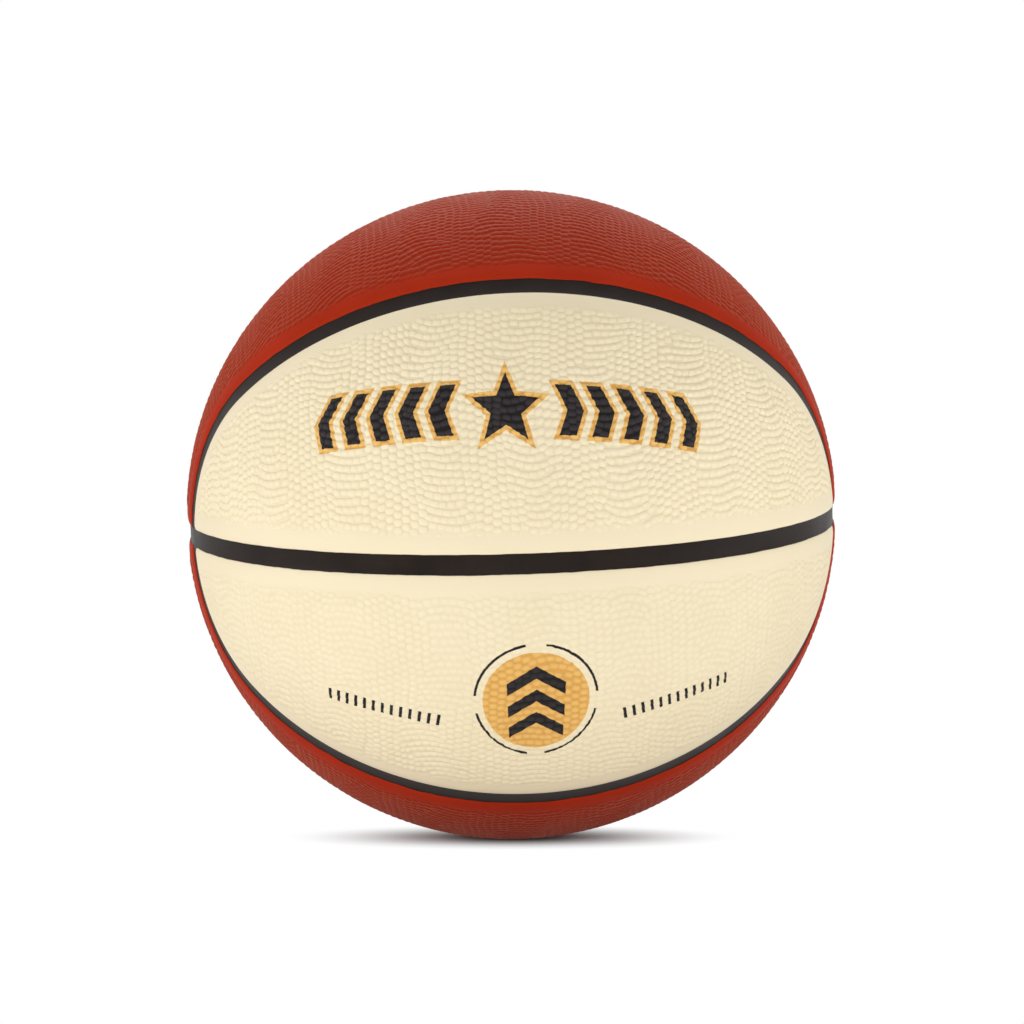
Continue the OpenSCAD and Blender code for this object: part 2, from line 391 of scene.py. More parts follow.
def panelSkin(kind, withHole):
    spec, skin = kinds[kind], Skin()
    inner, deep = ball["innerRadius"], panel["deepInside"]
    insets = list(panel["edgeWidth"] * (1 - np.cos(np.radians(panel["edgeTurns"])))) + [panel["margin"]]
    lengths = [runLength(edge) * ball["radius"] for edge in spec["edges"](0)]
    cornerPoints = len(panel["nearCorner"]) - 1
    counts = [max(5, round(length / panel["edgeStep"]) - cornerPoints) for length in lengths]
    rings = []
    for inset in insets:
        roundness = panel["cornerRound"] * (1 - panel["roundLoss"] * inset)
        rings.append(closedRing(spec["edges"](inset), counts, roundness))

    # the wall up from the inside, the rolled edge and the smooth margin
    wallFoot = skin.add(rings[0] * inner, 0)
    ring = wallFoot
    for points, inset in zip(rings, insets):
        ringAbove = skin.add(points * float(edgeRadius(inset)), inset)
        skin.bridge(ring, ringAbove)
        ring = ringAbove

    # the field inside the rings, and the inside of the cover below it
    border, points = rings[-1], fieldGrid(spec, withHole)
    hole = valveRing(valve["landRadius"]) if withHole else np.zeros((0, 3))
    holeRing = skin.add(hole * skinRadius, deep)
    field = skin.add(points * skinRadius, spec["inset"](points))
    lowRing, lowHole, lowField = (skin.add(part * inner, 0) for part in (border, hole, points))
    top, under = [*ring, *holeRing, *field], [*lowRing, *lowHole, *lowField]
    for triangle in fieldTriangles(spec, border, hole, points):
        skin.faces.append([top[i] for i in triangle])
        skin.faces.append([under[i] for i in reversed(triangle)])
    skin.bridge(lowRing, wallFoot)

    # the land round the valve and the wall of its hole
    if withHole:
        low = skin.add(valveRing(valve["holeRadius"]) * inner, 0)
        skin.bridge(low, lowHole)
        for away, height in valve["landProfile"]:
            high = skin.add(valveRing(away) * (skinRadius + height), deep)
            skin.bridge(high, low)
            low = high
        skin.bridge(holeRing, low)
    return np.concatenate(skin.coords), np.concatenate(skin.inset), skin.faces


pebbles = {
    "rowStep": 2.65,      # mm from row to row
    "alongStep": 2.68,    # mm along a row
    "rows": (-3, 40),     # those beyond the edges of the panel fall away
    "firstRow": 1.1,      # mm from row 0 to the seam
    "height": 0.68,
    "sink": 0.17,         # its foot lies below the skin
    "dip": 4.2,           # how far the rows hang down in each scallop
    "leastDip": 0.8,      # share of it, before its wave is added
    "scallopLength": 31,
    "wander": 4.2,        # how far the scallops shift over the panel
    "startInset": 4.6,    # pebbles begin this far from the channel
    "fullInset": 8.8,     # and have their full height here
    "leastSize": 0.82,    # share of the length and width where they begin
    "leastHeight": 0.03,  # share of the height below which one is left out
    "unevenness": 0.05,
    # half length along the row and half width across it: where every second pebble of a row
    # is set back by half a row, and at the foot of a scallop, where every second row is
    # shifted by half a pebble
    "brick": (1.92, 1.42),
    "square": (2.0, 1.32),
    "squareFrom": (0.55, 0.78),  # share of the dip over which the first turns into the second
    "profile": ((1.0, 0.0), (0.8, 0.38), (0.45, 0.82)),
    "corners": 3.4,       # 2 is round, more is square
    "sides": 12,
}
# waves that keep the rows uneven: size, in mm or as a share, and the mm to a radian along the
# row and across the rows
waves = {
    "rowStart": (0.9, math.inf, 13),
    "spacing": (0.25, 1.7, 3),  # here the first length is counted in pebbles
    "slowWander": (1.0, math.inf, 13),
    "quickWander": (0.4, math.inf, 6),
    "scallop": (2.2, 17, math.inf),
    "square": (0.2, 9, 5),
    "dip": (0.3, 23, 19),
    "jitter": (0.12, 2.9, math.inf),
}


def wave(name, along, across, phase):
    size, alongLength, acrossLength = waves[name]
    return size * np.sin(along / alongLength + across / acrossLength + phase)


def easeStep(values, low, high):
    share = np.clip((values - low) / (high - low), 0, 1)
    return share * share * (3 - 2 * share)


def rowPoints(kind, seed):
    phases = np.random.default_rng(seed).uniform(0, 2 * math.pi, 6)
    radius, step, length = ball["radius"], pebbles["alongStep"], pebbles["scallopLength"]
    points, ways, squares = [], [], []
    for row in range(*pebbles["rows"]):
        start = row * pebbles["rowStep"] + pebbles["firstRow"]
        shrink = max(math.cos(start / radius), 0.2)         # of the circles towards the pole
        count = int(radius * shrink * kinds[kind]["reach"] / step)
        column = np.arange(-count, count + 1)
        along = step * column + wave("rowStart", 0, start, phases[0])
        along = along + wave("spacing", column, start, phases[2])
        drift = wave("slowWander", 0, start, phases[1]) + wave("quickWander", 0, start, phases[2])
        shifted = along + pebbles["wander"] * drift + wave("scallop", along, 0, phases[3])
        swing = 2 * math.pi * shifted / length
        hang = 0.5 + 0.5 * np.cos(swing)
        square = easeStep(hang + wave("square", along, start, phases[4]), *pebbles["squareFrom"])
        along = along + step * ((row % 2) - 0.5) * 0.5 * square
        setBack = pebbles["rowStep"] * ((column % 2) - 0.5) * 0.5 * (1 - square)
        dip = pebbles["dip"] * (pebbles["leastDip"] + wave("dip", along, start, phases[5]))
        across = start - dip * hang + setBack + wave("jitter", along, 0, row)
        slope = dip * math.pi / length * np.sin(swing)
        climb, turn = across / radius, along / (radius * shrink)
        level = np.cos(climb)
        spot = np.stack([level * np.sin(turn), -level * np.cos(turn), np.sin(climb)], axis=1)
        east = np.stack([np.cos(turn), np.sin(turn), np.zeros(len(turn))], axis=1)
        points.append(spot)
        ways.append(unit(east + slope[:, None] * np.cross(spot, east)))
        squares.append(square)
    points, ways = np.concatenate(points), np.concatenate(ways)
    if kind == "band":                                      # its rows run along the seam over the top
        points, ways = (v[:, [0, 2, 1]] * (1, -1, -1) for v in (points, ways))
    return points, ways, np.concatenate(squares)


def pebblePlaces(kind, seed, withHole):
    points, ways, square = rowPoints(kind, seed)
    inset = kinds[kind]["inset"](points)
    grow = easeStep(inset, pebbles["startInset"], pebbles["fullInset"])
    if withHole:
        start, full = valve["pebblesFrom"]
        grow = grow * np.clip((fromValve(points) - valve["landRadius"] - start) / (full - start), 0, 1)
    brick, level, least = np.array(pebbles["brick"]), np.array(pebbles["square"]), pebbles["leastSize"]
    size = (brick + (level - brick) * square[:, None]) * (least + (1 - least) * grow[:, None])
    size = np.concatenate([size, pebbles["height"] * grow[:, None]], axis=1)
    keep = grow > pebbles["leastHeight"]
    return points[keep], ways[keep], inset[keep], size[keep]


def newTree(name, sockets):
    tree = bpy.data.node_groups.new(name, "GeometryNodeTree")
    tree.interface.new_socket("Geometry", in_out="INPUT", socket_type="NodeSocketGeometry")
    for label, kind in sockets:
        tree.interface.new_socket(label, in_out="INPUT", socket_type="NodeSocket" + kind)
    tree.interface.new_socket("Geometry", in_out="OUTPUT", socket_type="NodeSocketGeometry")
    return tree, tree.nodes.new("NodeGroupInput"), tree.nodes.new("NodeGroupOutput")


def setInputs(tree, target, values):
    for key, value in values.items():
        if isinstance(value, bpy.types.Node):
            value = value.outputs[0]
        value = getattr(value, "socket", value)
        if hasattr(value, "is_output"):
            tree.links.new(value, target.inputs[key])
        else:
            target.inputs[key].default_value = value


def node(tree, kind, inputs=None, **settings):
    new = tree.nodes.new(kind)
    for key, value in settings.items():
        setattr(new, key, value)
    setInputs(tree, new, inputs or {})
    return new


def attribute(tree, name, kind):
    return node(tree, "GeometryNodeInputNamedAttribute", {"Name": name}, data_type=kind).outputs["Attribute"]


def finishTree(tree, geometry, material, end):
    smooth = node(tree, "GeometryNodeSetShadeSmooth", {"Geometry": geometry})
    finish = node(tree, "GeometryNodeSetMaterial", {"Geometry": smooth, "Material": material})
    setInputs(tree, end, {"Geometry": finish})


def pebbleTree():
    tree, start, end = newTree("pebbledField", (
        ("Pebble", "Object"), ("Unevenness", "Float"), ("Seed", "Int"), ("Finish", "Material")))
    given = start.outputs
    parts = node(tree, "GeometryNodeSeparateGeometry", {
        "Geometry": given["Geometry"], "Selection": attribute(tree, "isPebble", "BOOLEAN")}, domain="POINT")
    pebble = node(tree, "GeometryNodeObjectInfo", {"Object": given["Pebble"]})
    standing = node(tree, "FunctionNodeAlignRotationToVector", {
        "Vector": node(tree, "GeometryNodeInputPosition")}, axis="Z")
    turned = node(tree, "FunctionNodeAlignRotationToVector", {
        "Rotation": standing, "Vector": attribute(tree, "rowWay", "FLOAT_VECTOR")},
        axis="X", pivot_axis="Z")

    least = node(tree, "ShaderNodeMath", {0: 1.0, 1: given["Unevenness"]}, operation="SUBTRACT")
    most = node(tree, "ShaderNodeMath", {0: 1.0, 1: given["Unevenness"]}, operation="ADD")
    uneven = node(tree, "FunctionNodeRandomValue", {
        "Min": least, "Max": most, "Seed": given["Seed"]}, data_type="FLOAT_VECTOR")
    scale = node(tree, "ShaderNodeVectorMath", {
        0: attribute(tree, "size", "FLOAT_VECTOR"), 1: uneven.outputs["Value"]}, operation="MULTIPLY")
    copies = node(tree, "GeometryNodeInstanceOnPoints", {
        "Points": parts.outputs["Selection"], "Instance": pebble.outputs["Geometry"],
        "Rotation": turned, "Scale": scale})
    solid = node(tree, "GeometryNodeRealizeInstances", {"Geometry": copies})
    joined = node(tree, "GeometryNodeJoinGeometry")
    tree.links.new(solid.outputs[0], joined.inputs[0])
    tree.links.new(parts.outputs["Inverted"], joined.inputs[0])
    finishTree(tree, joined, given["Finish"], end)
    return tree


def giveTree(obj, tree, values):
    modifier = obj.modifiers.new("shape", "NODES")
    modifier.node_group = tree
    for item in tree.interface.items_tree:
        if item.item_type == "SOCKET" and item.in_out == "INPUT" and item.name in values:
            modifier[item.identifier] = values[item.name]


def settle(obj, sharpAngle):
    graph = bpy.context.evaluated_depsgraph_get()
    mesh = bpy.data.meshes.new_from_object(obj.evaluated_get(graph))
    mesh.name = obj.name
    while mesh.materials[0] is None:                        # the empty first slot of the points
        mesh.materials.pop(index=0)
    obj.modifiers.clear()
    obj.data = mesh
    mesh.set_sharp_from_angle(angle=math.radians(sharpAngle))


def standFor(obj, nodeName):
    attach(obj, "root")
    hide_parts(nodeName)


def meshObject(name, coords, faces, edges=()):
    mesh = bpy.data.meshes.new(name)
    mesh.from_pydata([tuple(c) for c in coords], list(edges), faces)
    mesh.update()
    obj = bpy.data.objects.new(name, mesh)
    scene.collection.objects.link(obj)
    return obj


def addValues(obj, name, kind, values):
    layer = obj.data.attributes.new(name, kind, "POINT")
    values = np.asarray(values, bool if kind == "BOOLEAN" else np.float32)
    layer.data.foreach_set("vector" if kind == "FLOAT_VECTOR" else "value", values.ravel())


def pebbleShape():
    coords, faces = [], []
    sides, power = pebbles["sides"], pebbles["corners"]
    for away, height in pebbles["profile"]:
        for j in range(sides):
            turn = 2 * math.pi * (j + 0.5) / sides
            x, y = math.cos(turn), math.sin(turn)
            reach = away * (abs(x) ** power + abs(y) ** power) ** (-1 / power)
            coords.append((reach * x, reach * y, height))
    top, last = len(coords), len(coords) - sides
    coords.append((0, 0, 1))
    around = [(j, (j + 1) % sides) for j in range(sides)]
    for low in range(0, last, sides):
        faces += [(low + a, low + b, low + b + sides, low + a + sides) for a, b in around]
    faces += [(last + a, last + b, top) for a, b in around]
    faces.append(tuple(reversed(range(sides))))
    return meshObject("pebbleShape", coords, faces)


# materials
class Wire:
    # a shader socket that takes sums
    def __init__(self, tree, socket):
        self.tree, self.socket = tree, socket

    def op(self, kind, other=None):
        inputs = {0: self} if other is None else {0: self, 1: other}
        return Wire(self.tree, node(self.tree, "ShaderNodeMath", inputs, operation=kind).outputs[0])

    def __add__(self, other):
        return self.op("ADD", other)

    def __sub__(self, other):
        return self.op("SUBTRACT", other)

    def __mul__(self, other):
        return self.op("MULTIPLY", other)

    def __truediv__(self, other):
        return self.op("DIVIDE", other)

    def __neg__(self):
        return self.op("MULTIPLY", -1.0)

    def __abs__(self):
        return self.op("ABSOLUTE")

    def least(self, other):
        return self.op("MINIMUM", other)

    def most(self, other):
        return self.op("MAXIMUM", other)

    def between(self, low, high):
        inputs = {"Value": self, "From Min": low, "From Max": high}
        new = node(self.tree, "ShaderNodeMapRange", inputs, interpolation_type="SMOOTHSTEP")
        return Wire(self.tree, new.outputs["Result"])


def newMaterial(name):
    material = bpy.data.materials.new(name)
    material.use_nodes = True
    material.node_tree.nodes.clear()
    return material, material.node_tree


def startMaterial(name):
    material, tree = newMaterial(name)
    shader = node(tree, "ShaderNodeBsdfPrincipled")
    node(tree, "ShaderNodeOutputMaterial", {"Surface": shader})
    return material, tree, shader, node(tree, "ShaderNodeTexCoord").outputs["Object"]


def noise(tree, coords, size, detail=2.0, roughness=0.5):
    new = node(tree, "ShaderNodeTexNoise", {
        "Vector": coords, "Scale": 1 / (size * mm), "Detail": detail, "Roughness": roughness})
    return Wire(tree, new.outputs["Fac"])


def mottle(tree, coords, spec):
    (cloudSize, *cloudRange), (speckleSize, *speckleRange) = spec["cloud"], spec["speckle"]
    cloudy = noise(tree, coords, cloudSize, 3).between(*cloudRange)
    return cloudy, noise(tree, coords, speckleSize, 3, 0.6).between(*speckleRange)


def blendColour(tree, share, low, high):
    new = node(tree, "ShaderNodeMix", {0: share, 6: low, 7: high}, data_type="RGBA")
    return Wire(tree, new.outputs[2])                       # these are the sockets for colours


def addBump(tree, shader, height, strength, distance):
    bump = node(tree, "ShaderNodeBump", {"Height": height, "Strength": strength, "Distance": distance * mm})
    setInputs(tree, shader, {"Normal": bump})


def addGrain(tree, shader, coords, spec):
    fine, coarse, share = spec["grain"]
    grain = noise(tree, coords, fine, 3, 0.6) * share + noise(tree, coords, coarse, 2) * (1 - share)
    addBump(tree, shader, grain, *spec["bump"])


def linear(r, g, b):
    def one(c):
        c = c / 255
        return c / 12.92 if c <= 0.04045 else ((c + 0.055) / 1.055) ** 2.4
    return one(r), one(g), one(b), 1


# gap: a darker colour laid low between the pebbles as painted shade
rubberLooks = {
    "cream": {"field": linear(250, 236, 203), "margin": linear(247, 232, 199), "gap": linear(224, 205, 166),
              "tint": linear(245, 231, 196), "roughness": 0.5, "specular": 0.15,
              "sheen": 0.0, "sheenTint": linear(255, 255, 255)},
    "red": {"field": linear(163, 45, 18), "margin": linear(178, 49, 24), "gap": linear(147, 35, 14),
            "tint": linear(158, 41, 16), "roughness": 0.52, "specular": 0.02,
            "sheen": 0.22, "sheenTint": linear(255, 214, 184)},
}
coverSkin = {
    "cloud": (26, 0.35, 0.7),       # size in mm, and the stretch of the noise that is used
    "speckle": (1.1, 0.3, 0.72),
    "fieldTint": (0.55, 0.2),       # shares of the tint that cloud and speckle bring
    "marginTint": (0.35, 0.12),
    "gapShadeShare": 0.25,               # share of the darker gap colour painted between the pebbles as painted shade
    "fieldFrom": (5.4, 9.0),        # mm in from the channel, where margin turns into field
    "fieldWander": 0.6,
    "speckleRoughness": 0.08,
    "fieldRoughness": 0.06,
    "sheenRoughness": 0.45,
    "creep": 0.22,                  # mm that the channel's paint creeps up the edge
    "creepSize": 7,
    "paintEnd": 0.05,               # mm in from the channel, where it doesn't creep
    "paintBlur": 0.1,
    "grain": (0.32, 1.6, 0.6),      # mm of the fine and of the coarse one, and share of the fine one
    "bump": (0.35, 0.08),
}
plainSkin = {
    "cloud": (14, 0.3, 0.7),
    "speckle": (0.7, 0.3, 0.75),
    "tint": (0.6, 0.25),
    "roughness": (0.08, 0.1),       # what cloud and speckle add
    "grain": (0.5, 3.0, 0.5),
    "bump": (0.3, 0.06),
}
channelPaint = linear(40, 34, 32)
inks = {
    # painted shade between the pebbles, and a lighter painted highlight on them
    "black": (linear(14, 11, 12), linear(48, 42, 43)),
    "ochre": (linear(221, 166, 86), linear(243, 195, 113)),
}


def distanceFromCentre(tree, coords):
    length = node(tree, "ShaderNodeVectorMath", {0: coords}, operation="LENGTH")
    return Wire(tree, length.outputs["Value"])


def surfacePlace(tree, coords):
    split = node(tree, "ShaderNodeSeparateXYZ", {0: coords})
    x, y, z = (Wire(tree, split.outputs[i]) for i in range(3))
    far = distanceFromCentre(tree, coords)
    across = x.op("ARCTAN2", -y) * ball["radius"]
    above = (z / far).op("ARCSINE") * ball["radius"]
    return across, above                                    # mm along the surface from the oval's middle


def panelMaterial(name, look, prints=None):
    spec, skin = rubberLooks[look], coverSkin
    material, tree, shader, coords = startMaterial(name)
    inset = Wire(tree, node(tree, "ShaderNodeAttribute", attribute_name="inset").outputs["Fac"])
    height = distanceFromCentre(tree, coords)
    top = height.between((skinRadius - 0.05) * mm, (ball["radius"] - 0.1) * mm)
    cloudy, speckle = mottle(tree, coords, skin)
    wander = cloudy * (2 * skin["fieldWander"]) - skin["fieldWander"]
    inField = (inset + wander).between(*skin["fieldFrom"])
    fieldTint, marginTint = (
        cloudy * skin[part][0] + speckle * skin[part][1] for part in ("fieldTint", "marginTint"))
    field = blendColour(tree, fieldTint, spec["field"], spec["tint"])
    # painted shade: where the surface lies low between the pebbles, a share of the darker gap colour is
    # mixed in
    field = blendColour(tree, top, blendColour(tree, skin["gapShadeShare"], field, spec["gap"]), field)
    margin = blendColour(tree, marginTint, spec["margin"], spec["tint"])
    colour = blendColour(tree, inField, margin, field)
    evenRough = inField * skin["fieldRoughness"] + (spec["roughness"] - skin["fieldRoughness"])
    rough = speckle * skin["speckleRoughness"] + evenRough
    if prints:
        colour, rough = prints(tree, coords, colour, rough, top)
    creep = noise(tree, coords, skin["creepSize"], 2).between(0.2, 0.8) * skin["creep"]
    paint = (inset - creep - skin["paintEnd"]).between(skin["paintBlur"], -skin["paintBlur"])
    setInputs(tree, shader, {
        "Base Color": blendColour(tree, paint, colour, channelPaint), "Roughness": rough,
        "Specular IOR Level": spec["specular"], "Sheen Weight": inField * spec["sheen"],
        "Sheen Roughness": skin["sheenRoughness"], "Sheen Tint": spec["sheenTint"]})
    addGrain(tree, shader, coords, skin)
    return material


def plainRubber(name, colour, tint, roughness, specular=0.3):
    material, tree, shader, coords = startMaterial(name)
    cloudy, speckle = mottle(tree, coords, plainSkin)
    cloudTint, speckleTint = plainSkin["tint"]
    cloudRough, speckleRough = plainSkin["roughness"]
    mixed = blendColour(tree, cloudy * cloudTint + speckle * speckleTint, colour, tint)
    rough = speckle * speckleRough + cloudy * cloudRough + (roughness - cloudRough)
    setInputs(tree, shader, {"Base Color": mixed, "Roughness": rough, "Specular IOR Level": specular})
    addGrain(tree, shader, coords, plainSkin)
    return material


thread = {"scale": 900, "distortion": 6, "shade": linear(196, 192, 180), "light": linear(232, 230, 222),
          "roughness": 0.7, "bump": (0.4, 0.1)}


def threadMaterial(name):
    material, tree, shader, coords = startMaterial(name)
    bands = node(tree, "ShaderNodeTexWave", {
        "Vector": coords, "Scale": thread["scale"], "Distortion": thread["distortion"]})
    lines = Wire(tree, bands.outputs["Fac"])
    mixed = blendColour(tree, lines, thread["shade"], thread["light"])
    setInputs(tree, shader, {"Base Color": mixed, "Roughness": thread["roughness"]})
    addBump(tree, shader, lines, *thread["bump"])
    return material


# prints
ink = {
    "wobbleSize": 1.5,    # mm
    "blur": 0.1,          # mm either side of an edge
    "gloss": 0.1,         # less roughness than the rubber's
}
arch = {
    "above": 50.3,        # mm over the equator seam, at the crest of the row
    "crest": -14.0,
    "across": -6.5,       # middle of the row
    "sag": 0.00145,       # how fast the row falls to its ends
    "halfHeight": 8.6,
    "outline": 1.5,
    "slant": 0.42,
    # place along the row and half width of each arrow head, left and right alike
    "arrows": ((24.4, 2.9), (35.5, 2.75), (46.4, 2.6), (57.1, 2.45), (67.6, 2.3)),
    "starRadius": 12.6,
    "starInner": 0.44,
    "wobble": 0.25,
}


def wobbly(tree, coords, reach):
    return noise(tree, coords, ink["wobbleSize"], 1) * (2 * reach) - reach


def overprint(tree, colour, outside, name, top):
    # outside is the distance from the print's edge, below zero within it
    share = outside.between(ink["blur"], -ink["blur"])
    # painted light: each ink is darker low between the pebbles and lighter on their tops
    return blendColour(tree, share, colour, blendColour(tree, top, *inks[name])), share


def starShape(x, y, radius, inner):
    far = (x * x + y * y).op("SQRT")
    turn = x.op("ARCTAN2", y)                               # from straight up
    fifth = 2 * math.pi / 5
    folded = abs((turn + (fifth / 2 + 4 * math.pi)).op("MODULO", fifth) - fifth / 2)
    u, v = far * folded.op("COSINE"), far * folded.op("SINE")
    notch = (radius * inner * math.cos(fifth / 2), radius * inner * math.sin(fifth / 2))
    dx, dy = notch[0] - radius, notch[1]
    length = math.hypot(dx, dy)
    return v * (-dx / length) + (u - radius) * (dy / length)


def archPrint(tree, coords, colour, rough, top):
    across, above = surfacePlace(tree, coords)
    wobble = wobbly(tree, coords, arch["wobble"])
    x = across - arch["across"] + wobble
    fromCrest = across - arch["crest"]
    y = above - arch["above"] + fromCrest * fromCrest * arch["sag"] + wobble
    shape = starShape(x, y, arch["starRadius"], arch["starInner"])
    mirrored, height = abs(x), abs(y)
    for along, half in arch["arrows"]:
        arrow = abs(mirrored - along + height * arch["slant"]) - half
        shape = shape.least(arrow.most(height - arch["halfHeight"]))
    colour, _ = overprint(tree, colour, shape - arch["outline"], "ochre", top)
    colour, body = overprint(tree, colour, shape, "black", top)
    return colour, rough - body * ink["gloss"]


badge = {
    "above": -48.6,       # mm over the equator seam
    "across": 1.3,
    "radius": 19.0,
    "ringRadius": 21.8,
    "ringHalf": 0.45,
    "ringGap": 3.4,       # half the width of the four gaps in the ring
    "chevronPlaces": (-5.6, 3.1, 11.8),
    "chevronHalf": 2.3,
    "chevronReach": 10.2,
    "chevronRise": 0.62,
    "tickStart": 33,
    "tickEnd": 79,
    "tickPitch": 3.5,
    "tickHalf": 0.6,
    "tickHeight": 2.3,
    "tickAbove": -55.5,
    "tickClimb": 0.19,
    "tickLean": 0.3,
    "wobble": 0.2,
}


def badgePrint(tree, coords, colour, rough, top):
    across, above = surfacePlace(tree, coords)
    wobble = wobbly(tree, coords, badge["wobble"])
    x = across - badge["across"] + wobble
    y = above - badge["above"] + wobble
    wide, high = abs(x), abs(y)
    far = (x * x + y * y).op("SQRT")
    disc = far - badge["radius"]
    gap = wide.least(high) * -1.0 + badge["ringGap"]
    black = (abs(far - badge["ringRadius"]) - badge["ringHalf"]).most(gap)
    for middle in badge["chevronPlaces"]:
        chevron = abs(y - middle + wide * badge["chevronRise"]) - badge["chevronHalf"]
        black = black.least(chevron.most(wide - badge["chevronReach"]))
    along = abs(across)
    rise = above - badge["tickAbove"] - (along - badge["tickStart"]) * badge["tickClimb"]
    beside = (along + rise * badge["tickLean"] - badge["tickStart"]).op("MODULO", badge["tickPitch"])
    tick = (abs(beside - badge["tickPitch"] / 2) - badge["tickHalf"]).most(abs(rise) - badge["tickHeight"])
    middle = (badge["tickStart"] + badge["tickEnd"]) / 2
    half = (badge["tickEnd"] - badge["tickStart"]) / 2
    black = black.least(tick.most(abs(along - middle) - half))
    colour, _ = overprint(tree, colour, disc, "ochre", top)
    colour, body = overprint(tree, colour, black, "black", top)
    return colour, rough - body * ink["gloss"]


finishes = {
    "creamPlain": panelMaterial("creamRubber", "cream"),
    "creamArch": panelMaterial("creamRubberWithArch", "cream", archPrint),
    "creamBadge": panelMaterial("creamRubberWithBadge", "cream", badgePrint),
    "red": panelMaterial("redRubber", "red"),
    "channel": plainRubber("channelRubber", linear(33, 26, 23), linear(43, 35, 31), 0.42, 0.07),
    "backing": plainRubber("backingRubber", linear(60, 52, 46), linear(74, 64, 56), 0.75),
    "bladder": plainRubber("bladderRubber", linear(26, 26, 28), linear(34, 34, 36), 0.4),
    "thread": threadMaterial("nylonThread"),
    "valve": plainRubber("valveRubber", linear(30, 29, 29), linear(44, 42, 41), 0.45),
}
print("materials made")

# the eight cover panels
panels = {
    # its own name, kind, finish, signs of x, y and z at its place, seed, share of the pebbles' height
    "lens_front_upper": ("frontUpperPanel", "lens", "creamArch", (1, 1, 1), 11, 1.0),
    "lens_front_lower": ("frontLowerPanel", "lens", "creamBadge", (-1, 1, -1), 12, 0.6),
    "lens_back_upper": ("backUpperPanel", "lens", "creamPlain", (-1, -1, 1), 13, 1.0),
    "lens_back_lower": ("backLowerPanel", "lens", "creamPlain", (1, -1, -1), 14, 0.8),
    "band_front_upper": ("frontTopPanel", "band", "red", (1, 1, 1), 21, 0.65),
    "band_front_lower": ("frontBottomPanel", "band", "red", (-1, 1, -1), 22, 0.65),
    "band_back_upper": ("backTopPanel", "band", "red", (-1, -1, 1), 23, 0.65),
    "band_back_lower": ("backBottomPanel", "band", "red", (1, -1, -1), 24, 0.65),
}
shapeOfPebble = pebbleShape()
fieldTree = pebbleTree()


def makePanel(nodeName):
    pieceName, kind, finish, signs, seed, relief = panels[nodeName]
    withHole = nodeName == "band_back_upper"
    coords, inset, faces = panelSkin(kind, withHole)
    points, ways, pointInset, size = pebblePlaces(kind, seed, withHole)
    foot = edgeRadius(pointInset) - pebbles["sink"] * relief
    every = np.concatenate([coords, points * foot[:, None]])
    obj = meshObject(pieceName, every * signs * mm, faces)
    few, many = len(coords), len(points)
    blank = np.ones((few, 3))                               # the skin has no pebble's size or way
    addValues(obj, "inset", "FLOAT", np.concatenate([inset, pointInset]))
    addValues(obj, "size", "FLOAT_VECTOR", np.concatenate([blank, size * (1, 1, relief)]) * mm)
    addValues(obj, "rowWay", "FLOAT_VECTOR", np.concatenate([blank, ways * signs]))
    addValues(obj, "isPebble", "BOOLEAN", np.arange(few + many) >= few)
    giveTree(obj, fieldTree, {
        "Pebble": shapeOfPebble, "Unevenness": pebbles["unevenness"],
        "Seed": seed, "Finish": finishes[finish]})
    settle(obj, panel["sharpAngle"])
    standFor(obj, nodeName)
    tris = sum(len(p.vertices) - 2 for p in obj.data.polygons)
    print("panel", obj.name, "pebbles", many, "triangles", tris)


for nodeName in panels:
    makePanel(nodeName)
bpy.data.objects.remove(shapeOfPebble)

# channel strips
strip = {
    "halfWidth": 3.19,
    "thickness": 0.5,
    "dip": 0.09,          # the floor is a little hollow
    "lip": 0.05,          # and turns up where it meets the panels
    "lipPower": 6,        # more keeps it closer to them
    "profilePoints": 15,
    "step": 1.6,          # along the channel
    "equatorSteps": 480,
    "sharpAngle": 40,
}


def stripProfile():
    half, thick = strip["halfWidth"], strip["thickness"]
    share = np.linspace(1, -1, strip["profilePoints"])
    high = strip["lip"] * np.abs(share) ** strip["lipPower"] - strip["dip"] * (1 - share ** 2)
    points = [(half, -thick), *zip(share * half, high), (-half, -thick)]
    count = len(points)
    return meshObject("stripProfile", [(y * mm, -x * mm, 0) for x, y in points], [],
                      [(j, (j + 1) % count) for j in range(count)])


def stripTree():
    tree, start, end = newTree("channelStrip", (("Profile", "Object"), ("Finish", "Material")))
    given = start.outputs
    path = node(tree, "GeometryNodeMeshToCurve", {"Mesh": given["Geometry"]})
    place = node(tree, "GeometryNodeInputPosition")
    level = node(tree, "ShaderNodeVectorMath", {0: place}, operation="NORMALIZE")
    turned = node(tree, "GeometryNodeSetCurveNormal", {"Curve": path, "Normal": level}, mode="FREE")
    section = node(tree, "GeometryNodeObjectInfo", {"Object": given["Profile"]})
    outline = node(tree, "GeometryNodeMeshToCurve", {"Mesh": section.outputs["Geometry"]})
    swept = node(tree, "GeometryNodeCurveToMesh", {
        "Curve": turned, "Profile Curve": outline, "Fill Caps": True})
    solid = node(tree, "GeometryNodeRealizeInstances", {"Geometry": swept})
    finishTree(tree, solid, given["Finish"], end)
    return tree


def evenly(points):
    length = runLength(points) * ball["radius"]
    count = max(8, round(length / strip["step"]))
    return alongCurve(points, np.linspace(0, length, count + 1) / ball["radius"])


